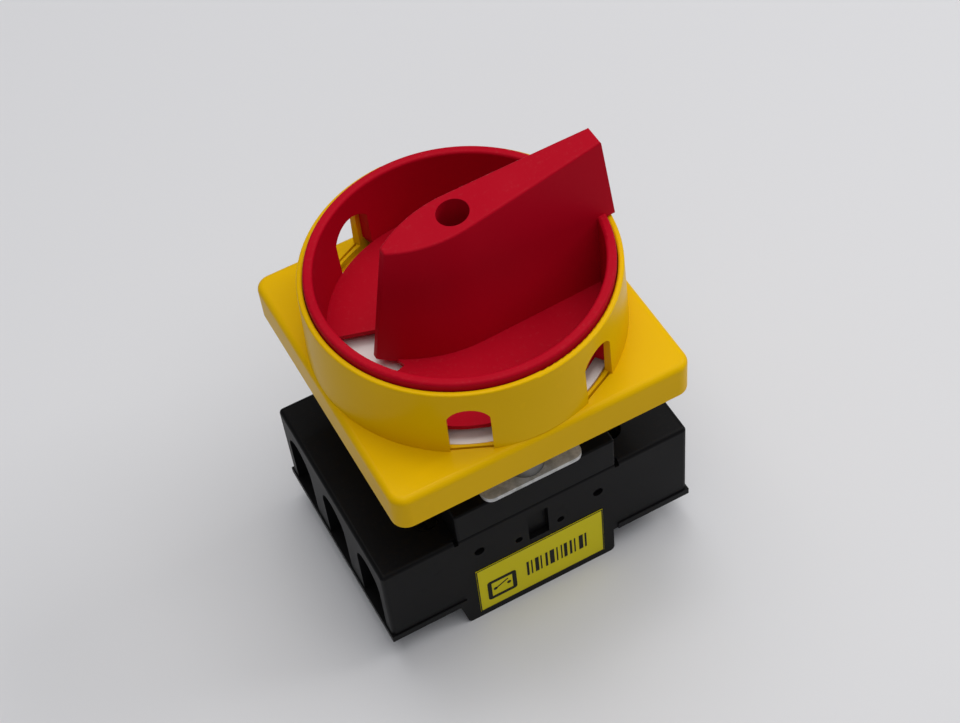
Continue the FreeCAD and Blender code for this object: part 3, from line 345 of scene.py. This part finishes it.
def moulded(
    name,
    tone,
    gloss=0.4,
    grain=4000.0,
    depth=0.3,
    drift=0.08,
    scuffs=0.3,
    dust=0.02,
    coat=0.0,
    waviness=0.25,
    sheen=0.07,
):
    """A moulded plastic: grain, slow colour drift, scuffs and a breath of dust."""
    material, tree, shader = new_material(name)
    base = placed_group(tree, "Colour drift", Colour=rgba(tone), Amount=drift)
    scuff = placed_group(tree, "Handling scuffs", Cover=scuffs)
    specks = placed_group(tree, "Settled dust", Amount=dust)
    pale = tuple(min(1.0, c * 1.2 + 0.002) for c in tone)
    worn = mix_colour(tree, scuff.outputs["Mask"], base.outputs["Colour"], rgba(pale))
    dusty = mix_colour(tree, specks.outputs["Mask"], worn, (0.62, 0.60, 0.57, 1.0))
    tree.links.new(dusty, shader.inputs["Base Color"])
    place = tree.nodes.new("ShaderNodeTexCoord").outputs["Object"]
    patchy = noise(tree, place, 55.0, 3.0).outputs["Fac"]
    rough = maths(tree, "MULTIPLY", maths(tree, "SUBTRACT", patchy, 0.5), 0.12)
    rough = maths(tree, "ADD", rough, gloss)
    rough = maths(tree, "ADD", rough, maths(tree, "MULTIPLY", scuff.outputs["Mask"], 0.25))
    tree.links.new(rough, shader.inputs["Roughness"])
    shader.inputs["Specular IOR Level"].default_value = sheen
    shader.inputs["Coat Weight"].default_value = coat
    shader.inputs["Coat Roughness"].default_value = 0.15
    height = placed_group(tree, "Moulded grain", Scale=grain, Waviness=waviness)
    bump(tree, shader, height.outputs["Height"], depth, 0.02 * MM)
    return material


def metal(
    name,
    tone,
    gloss=0.3,
    brushed=(1.0, 1.0, 1.0),
    patches=0.0,
    stain=(0.3, 0.3, 0.3),
    scuffs=0.5,
    metallic=1.0,
):
    """Bare or plated metal: drawn lines, patches of passivation and scuffs."""
    material, tree, shader = new_material(name)
    place = tree.nodes.new("ShaderNodeTexCoord").outputs["Object"]
    mapping = tree.nodes.new("ShaderNodeMapping")
    mapping.inputs["Scale"].default_value = brushed
    tree.links.new(place, mapping.inputs["Vector"])
    lines = noise(tree, mapping.outputs["Vector"], 1500.0, 3.0, 0.6).outputs["Fac"]
    cloud = ramp(tree, noise(tree, place, 420.0, 5.0, 0.65).outputs["Fac"], 0.42, 0.62)
    mask = maths(tree, "MULTIPLY", cloud, patches)
    blotched = mix_colour(tree, mask, rgba(tone), rgba(stain))
    scuff = placed_group(tree, "Handling scuffs", Cover=scuffs)
    bright = tuple(min(1.0, c * 1.3) for c in tone)
    worn = mix_colour(tree, scuff.outputs["Mask"], blotched, rgba(bright))
    tree.links.new(worn, shader.inputs["Base Color"])
    shader.inputs["Metallic"].default_value = metallic
    rough = maths(tree, "ADD", maths(tree, "MULTIPLY", lines, 0.18), gloss)
    rough = maths(tree, "ADD", rough, maths(tree, "MULTIPLY", mask, 0.2))
    tree.links.new(rough, shader.inputs["Roughness"])
    bump(tree, shader, lines, 0.15, 0.02 * MM)
    return material


# ---------------------------------------------------------------- small tools
def look(name):
    return getattr(bpy.context.scene, name)


def finish_nodes(material, *names):
    """Gives CAD nodes a material in place of the one that they come with."""
    for name in names:
        node = frame["nodes"][name]
        node.data.materials.clear()
        node.data.materials.append(material)


def start_piece():
    """Nothing selected, so that the next operator acts on its own piece alone."""
    if bpy.context.object and bpy.context.object.mode != "OBJECT":
        bpy.ops.object.mode_set(mode="OBJECT")
    bpy.ops.object.select_all(action="DESELECT")


def seat_piece(piece, name, material, body):
    """Bakes the piece's place into its mesh, names and finishes it, and lets it ride."""
    bpy.ops.object.select_all(action="DESELECT")
    piece.select_set(True)
    bpy.context.view_layer.objects.active = piece
    bpy.ops.object.transform_apply(location=True, rotation=True, scale=True)
    piece.name = name
    piece.data.name = name
    piece.data.materials.clear()
    piece.data.materials.append(material)
    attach(piece, body)


def join_pieces(pieces):
    """Joins the pieces into the first."""
    bpy.ops.object.select_all(action="DESELECT")
    for piece in pieces:
        piece.select_set(True)
    bpy.context.view_layer.objects.active = pieces[0]
    bpy.ops.object.join()
    return pieces[0]


def raise_faces(thickness, axis):
    """Gives the active flat piece a thickness along the axis."""
    bpy.ops.object.mode_set(mode="EDIT")
    bpy.ops.mesh.select_all(action="SELECT")
    bpy.ops.mesh.extrude_region_move(
        TRANSFORM_OT_translate={"value": tuple(thickness * c for c in axis)}
    )
    bpy.ops.mesh.select_all(action="SELECT")
    bpy.ops.mesh.normals_make_consistent(inside=False)
    bpy.ops.object.mode_set(mode="OBJECT")


# ---------------------------------------------------------------- operators
class SWITCH_OT_handle(bpy.types.Operator):
    """Finish the red handle and the shaft that it turns"""

    bl_idname = "switch.handle"
    bl_label = "Handle"

    def execute(self, context):
        given = look("switch_handle")
        red = moulded(
            "Handle red",
            tuple(given.red),
            gloss=0.44,
            grain=1.0 / given.grain,
            depth=0.22,
            scuffs=0.25,
            sheen=0.04,
        )
        finish_nodes(red, "knob")
        finish_nodes(metal("Shaft steel", (0.50, 0.50, 0.50), 0.3, (1, 1, 0.08)), "drive_shaft")
        return {"FINISHED"}


class SWITCH_OT_front_plate(bpy.types.Operator):
    """Finish the yellow plate with its collar, and the seals behind it"""

    bl_idname = "switch.front_plate"
    bl_label = "Front plate"

    def execute(self, context):
        given = look("switch_handle")
        yellow = moulded(
            "Plate yellow",
            tuple(given.yellow),
            gloss=0.30,
            grain=5200.0,
            depth=0.10,
            drift=0.06,
            scuffs=0.2,
            coat=0.04,
            waviness=0.6,
            sheen=0.03,
        )
        finish_nodes(yellow, "front_plate")
        rubber = moulded("Seal rubber", (0.018, 0.018, 0.018), gloss=0.7, depth=0.5, scuffs=0.1)
        finish_nodes(rubber, "shaft_seal", "panel_gasket")
        return {"FINISHED"}


class SWITCH_OT_legend(bpy.types.Operator):
    """Finish the white disc and print the numbers of the two positions on it"""

    bl_idname = "switch.legend"
    bl_label = "Legend disc"

    def execute(self, context):
        given = look("switch_handle")
        white = moulded(
            "Legend white", tuple(given.white), gloss=0.38, depth=0.08, drift=0.04, scuffs=0.1
        )
        finish_nodes(white, "legend_disc")
        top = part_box("legend_disc")[1].z
        ink = moulded("Legend ink", (0.012, 0.012, 0.014), gloss=0.45, depth=0.05, scuffs=0.1)
        zero = print_zero((-NUMBER_RADIUS, 0, top))
        seat_piece(zero, "legend_zero", ink, "housing")
        one = print_one((0, NUMBER_RADIUS * ONE_FURTHER_OUT, top))
        seat_piece(one, "legend_one", ink, "housing")
        return {"FINISHED"}


def print_zero(middle):
    """A number 0 lying on the disc, to be read with the handle's tip on the left."""
    start_piece()
    bpy.ops.mesh.primitive_circle_add(vertices=40, radius=1.0, fill_type="NGON", location=middle)
    piece = bpy.context.object
    piece.scale = (NUMBER_HALF_HEIGHT, NUMBER_HALF_WIDTH, 1.0)
    bpy.ops.object.transform_apply(location=False, rotation=False, scale=True)
    bpy.ops.object.mode_set(mode="EDIT")
    bpy.ops.mesh.select_all(action="SELECT")
    bpy.ops.mesh.inset(thickness=NUMBER_STROKE)
    bpy.ops.mesh.delete(type="FACE")
    bpy.ops.object.mode_set(mode="OBJECT")
    raise_faces(INK_ON_DISC, (0, 0, 1))
    return piece


def print_one(middle):
    """A number 1, drawn as a plain stroke with rounded corners."""
    start_piece()
    bpy.ops.mesh.primitive_plane_add(size=1.0, location=middle)
    piece = bpy.context.object
    piece.scale = (NUMBER_STROKE, NUMBER_HALF_HEIGHT * 2, 1.0)
    bpy.ops.object.transform_apply(location=False, rotation=False, scale=True)
    bpy.ops.object.mode_set(mode="EDIT")
    bpy.ops.mesh.select_all(action="SELECT")
    bpy.ops.mesh.bevel(offset=NUMBER_STROKE * 0.2, segments=2, affect="VERTICES")
    bpy.ops.object.mode_set(mode="OBJECT")
    raise_faces(INK_ON_DISC, (0, 0, 1))
    return piece


class SWITCH_OT_fixings(bpy.types.Operator):
    """Finish the plated strip, the spacers and all the screws"""

    bl_idname = "switch.fixings"
    bl_label = "Strip and screws"

    def execute(self, context):
        given = look("switch_body")
        strip = metal(
            "Passivated zinc",
            tuple(given.zinc),
            gloss=0.45,
            patches=0.7,
            stain=(0.36, 0.36, 0.34),
            scuffs=0.7,
            metallic=0.15,
        )
        finish_nodes(strip, "mounting_strip")
        sleeves = metal("Dull zinc", (0.20, 0.195, 0.18), gloss=0.5, patches=0.5, metallic=0.45)
        finish_nodes(sleeves, "spacer_sleeves")
        screws = metal("Zinc screws", (0.66, 0.65, 0.62), gloss=0.22, patches=0.2)
        finish_nodes(screws, "plate_screws", "knob_screw", "housing_screws", "foot_screws")
        # Painted shade: the terminal screws get a near-black steel tone that stands in for the shade
        # inside the driver holes, not a finish of their own
        hole_shade_steel = metal(
            "Steel painted with hole shade", (0.09, 0.09, 0.09), gloss=0.4, patches=0.3, stain=(0.05, 0.05, 0.05)
        )
        finish_nodes(hole_shade_steel, "terminal_screws")
        nylon = moulded("Natural nylon", (0.70, 0.67, 0.58), gloss=0.42, depth=0.15, drift=0.1)
        finish_nodes(nylon, "drive_rotor")
        return {"FINISHED"}


class SWITCH_OT_body(bpy.types.Operator):
    """Finish the black mouldings: terminal body, mechanism block, base, foot and latch"""

    bl_idname = "switch.body"
    bl_label = "Body"

    def execute(self, context):
        given = look("switch_body")
        black = moulded(
            "Body black",
            tuple(given.black),
            gloss=0.48,
            grain=2600.0,
            depth=0.35,
            drift=0.3,
            scuffs=0.35,
            dust=0.008,
            coat=0.04,
        )
        finish_nodes(black, "terminal_base", "mechanism_housing", "base_plate", "rail_foot")
        finish_nodes(
            moulded("Latch black", (0.02, 0.02, 0.021), gloss=0.38, depth=0.2, scuffs=0.5), "rail_latch"
        )
        finish_nodes(moulded("Carrier grey", (0.16, 0.165, 0.17), gloss=0.5), "contact_carrier")
        return {"FINISHED"}


class SWITCH_OT_contacts(bpy.types.Operator):
    """Finish the contacts, the terminals and the springs"""

    bl_idname = "switch.contacts"
    bl_label = "Contacts and springs"

    def execute(self, context):
        copper = metal("Contact copper", (0.72, 0.36, 0.22), 0.3, (0.1, 1, 1), 0.4, (0.35, 0.17, 0.10))
        brass = metal("Terminal brass", (0.60, 0.48, 0.24), 0.28, (0.1, 1, 1), 0.3, (0.38, 0.28, 0.12))
        spring = metal("Spring steel", (0.42, 0.42, 0.44), 0.25, (0.1, 1, 1))
        ends = ("line", "load")
        finish_nodes(copper, *[f"moving_contact_{p}" for p in POLES])
        finish_nodes(copper, *[f"{e}_contact_{p}" for e in ends for p in POLES])
        finish_nodes(brass, *[f"{e}_terminal_{p}" for e in ends for p in POLES])
        finish_nodes(spring, *[f"contact_spring_{p}" for p in POLES])
        finish_nodes(spring, "detent_spring_front", "detent_spring_back")
        latch_coil(spring)
        return {"FINISHED"}


def latch_coil(material):
    """A merged copy of the latch's coil, which takes the hidden CAD node's place."""
    start_piece()
    node = frame["nodes"]["latch_spring"]
    node.select_set(True)
    bpy.context.view_layer.objects.active = node
    bpy.ops.object.duplicate()
    coil = bpy.context.object
    # The copy is a piece of its own, so it drops the mark of a CAD node
    del coil["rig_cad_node"]
    bpy.ops.object.mode_set(mode="EDIT")
    bpy.ops.mesh.select_all(action="SELECT")
    bpy.ops.mesh.remove_doubles(threshold=0.001 * MM)
    bpy.ops.mesh.normals_make_consistent(inside=False)
    bpy.ops.object.mode_set(mode="OBJECT")
    seat_piece(coil, "latch_coil", material, "housing")
    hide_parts("latch_spring")
    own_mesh(coil)


class SWITCH_OT_label(bpy.types.Operator):
    """Finish the side label and print a plain border, a symbol and code bars on it"""

    bl_idname = "switch.label"
    bl_label = "Side label"

    def execute(self, context):
        given = look("switch_label")
        film = moulded(
            "Label film", tuple(given.film), gloss=0.33, depth=0.05, drift=0.05, scuffs=0.3, coat=0.05
        )
        finish_nodes(film, "side_label")
        ink = moulded("Label ink", tuple(given.ink), gloss=0.4, depth=0.05, scuffs=0.15, dust=0.01)
        low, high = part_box("side_label")
        face = low.y
        parts = [print_border(low, high, face, given.ink_height)]
        parts += print_symbol(low, face, given.ink_height)
        parts += print_bars(low, high, face, given.ink_height)
        seat_piece(join_pieces(parts), "label_print", ink, "housing")
        return {"FINISHED"}


def flat_patch(x, z, face, corner=0.0):
    """A flat rectangle on the label's face, with rounded corners if corner is given."""
    start_piece()
    bpy.ops.mesh.primitive_plane_add(
        size=1.0, location=((x[0] + x[1]) / 2, face, (z[0] + z[1]) / 2), rotation=(math.pi / 2, 0, 0)
    )
    piece = bpy.context.object
    piece.scale = (x[1] - x[0], z[1] - z[0], 1.0)
    bpy.ops.object.transform_apply(location=True, rotation=True, scale=True)
    if corner:
        bpy.ops.object.mode_set(mode="EDIT")
        bpy.ops.mesh.select_all(action="SELECT")
        bpy.ops.mesh.bevel(offset=corner, segments=4, affect="VERTICES")
        bpy.ops.object.mode_set(mode="OBJECT")
    return piece


def print_border(low, high, face, thickness):
    """A thin line round the label, just inside its edge."""
    sides = (low.x + BORDER_EDGE, high.x - BORDER_EDGE)
    ends = (low.z + BORDER_EDGE, high.z - BORDER_EDGE)
    piece = flat_patch(sides, ends, face)
    bpy.ops.object.mode_set(mode="EDIT")
    bpy.ops.mesh.select_all(action="SELECT")
    bpy.ops.mesh.inset(thickness=BORDER_WIDTH)
    bpy.ops.mesh.delete(type="FACE")
    bpy.ops.object.mode_set(mode="OBJECT")
    raise_faces(thickness, (0, -1, 0))
    return piece


def print_symbol(low, face, thickness):
    """A square frame with an open switch drawn in it: two studs and a raised blade."""
    left, bottom = low.x + SYMBOL_FROM_LEFT, low.z + SYMBOL_FROM_BELOW
    sides = (left, left + SYMBOL_SIDE)
    ends = (bottom, bottom + SYMBOL_SIDE)
    square = flat_patch(sides, ends, face, SYMBOL_CORNER)
    bpy.ops.object.mode_set(mode="EDIT")
    bpy.ops.mesh.select_all(action="SELECT")
    bpy.ops.mesh.inset(thickness=SYMBOL_FRAME)
    bpy.ops.mesh.delete(type="FACE")
    bpy.ops.object.mode_set(mode="OBJECT")
    raise_faces(thickness, (0, -1, 0))
    parts = [square]
    middle = bottom + SYMBOL_SIDE / 2
    for x in (left + STUD_FROM_SIDE, left + SYMBOL_SIDE - STUD_FROM_SIDE):
        start_piece()
        bpy.ops.mesh.primitive_circle_add(
            vertices=24,
            radius=STUD_RADIUS,
            fill_type="NGON",
            location=(x, face, middle),
            rotation=(math.pi / 2, 0, 0),
        )
        stud = bpy.context.object
        bpy.ops.object.transform_apply(location=True, rotation=True, scale=True)
        raise_faces(thickness, (0, -1, 0))
        parts.append(stud)
    start_piece()
    bpy.ops.mesh.primitive_plane_add(
        size=1.0,
        location=(left + SYMBOL_SIDE / 2, face, middle + BLADE_RISE),
        rotation=(math.pi / 2, 0, 0),
    )
    blade = bpy.context.object
    blade.scale = (BLADE_LENGTH, BLADE_WIDTH, 1.0)
    bpy.ops.object.transform_apply(location=False, rotation=False, scale=True)
    blade.rotation_euler = (math.pi / 2, -BLADE_TILT, 0)
    bpy.ops.object.transform_apply(location=True, rotation=True, scale=True)
    raise_faces(thickness, (0, -1, 0))
    parts.append(blade)
    return parts


def print_bars(low, high, face, thickness):
    """Plain code bars of uneven width."""
    x = low.x + BARS_FROM_LEFT
    z = (low.z + BARS_FROM_BELOW, high.z - BARS_FROM_ABOVE)
    parts = []
    for width, gap in zip(BAR_WIDTHS, BAR_GAPS):
        bar = flat_patch((x, x + width * MM), z, face)
        raise_faces(thickness, (0, -1, 0))
        parts.append(bar)
        x += (width + gap) * MM
    return parts


class SWITCH_OT_studio(bpy.types.Operator):
    """Set a pale floor, soft lights and the camera"""

    bl_idname = "switch.studio"
    bl_label = "Studio"

    def execute(self, context):
        given = look("switch_studio")
        scene = context.scene
        start_piece()
        bpy.ops.mesh.primitive_grid_add(x_subdivisions=4, y_subdivisions=4, size=FLOOR_SIDE)
        floor = context.object
        floor.name = "floor"
        floor.data.materials.append(floor_material(tuple(given.floor)))
        for light in LIGHTS:
            add_area_light(*light)
        world = scene.world or bpy.data.worlds.new("Studio")
        scene.world = world
        world.use_nodes = True
        sky = world.node_tree.nodes["Background"]
        sky.inputs["Color"].default_value = SKY_COLOUR
        sky.inputs["Strength"].default_value = SKY_STRENGTH
        bpy.ops.object.camera_add(location=given.camera_place, rotation=given.camera_turn)
        camera = context.object
        camera.name = "camera"
        camera.data.sensor_width = 36.0
        camera.data.lens = given.focal
        camera.data.shift_y = CAMERA_SHIFT_Y
        camera.data.clip_start = 0.01
        camera.data.clip_end = 20.0
        scene.camera = camera
        scene.view_settings.view_transform = "Standard"
        return {"FINISHED"}


def floor_material(tone):
    """A pale table top, a little soiled and fine-grained."""
    material, tree, shader = new_material("Pale floor")
    place = tree.nodes.new("ShaderNodeTexCoord").outputs["Object"]
    wide = noise(tree, place, 3.0, 3.0).outputs["Fac"]
    soil = ramp(tree, wide, 0.45, 0.75)
    tinted = tuple(c * 0.96 for c in tone)
    tree.links.new(mix_colour(tree, soil, rgba(tone), rgba(tinted)), shader.inputs["Base Color"])
    shader.inputs["Roughness"].default_value = 0.55
    fine = noise(tree, place, 900.0, 2.0).outputs["Fac"]
    bump(tree, shader, fine, 0.1, 0.05 * MM)
    return material


def add_area_light(name, place, size, power, tone):
    """A soft light that faces the switch."""
    bpy.ops.object.light_add(type="AREA", location=place)
    light = bpy.context.object
    light.name = name
    towards = Vector(LIGHTS_AIM) - Vector(place)
    light.rotation_euler = towards.to_track_quat("-Z", "Y").to_euler()
    light.data.shape = "RECTANGLE"
    light.data.size = size
    light.data.size_y = size * 0.7
    light.data.energy = power
    light.data.color = tone


OPERATORS = (
    SWITCH_OT_handle,
    SWITCH_OT_front_plate,
    SWITCH_OT_legend,
    SWITCH_OT_fixings,
    SWITCH_OT_body,
    SWITCH_OT_contacts,
    SWITCH_OT_label,
    SWITCH_OT_studio,
)


class SWITCH_PT_panel(bpy.types.Panel):
    """Lists the pieces that can be built"""

    bl_label = "Rotary isolator switch"
    bl_idname = "SWITCH_PT_panel"
    bl_space_type = "VIEW_3D"
    bl_region_type = "UI"
    bl_category = "Switch"

    def draw(self, context):
        for name in LOOKS:
            box = self.layout.box()
            for prop in LOOKS[name].__annotations__:
                box.prop(getattr(context.scene, name), prop)
        for operator in OPERATORS:
            self.layout.operator(operator.bl_idname)


CLASSES = (*LOOKS.values(), *OPERATORS, SWITCH_PT_panel)


def register():
    for item in CLASSES:
        bpy.utils.register_class(item)
    for name, group in LOOKS.items():
        setattr(bpy.types.Scene, name, bpy.props.PointerProperty(type=group))


def unregister():
    for name in LOOKS:
        delattr(bpy.types.Scene, name)
    for item in reversed(CLASSES):
        bpy.utils.unregister_class(item)


def main():
    register()
    for operator in OPERATORS:
        family, action = operator.bl_idname.split(".")
        getattr(getattr(bpy.ops, family), action)()


if __name__ == "__main__":
    main()
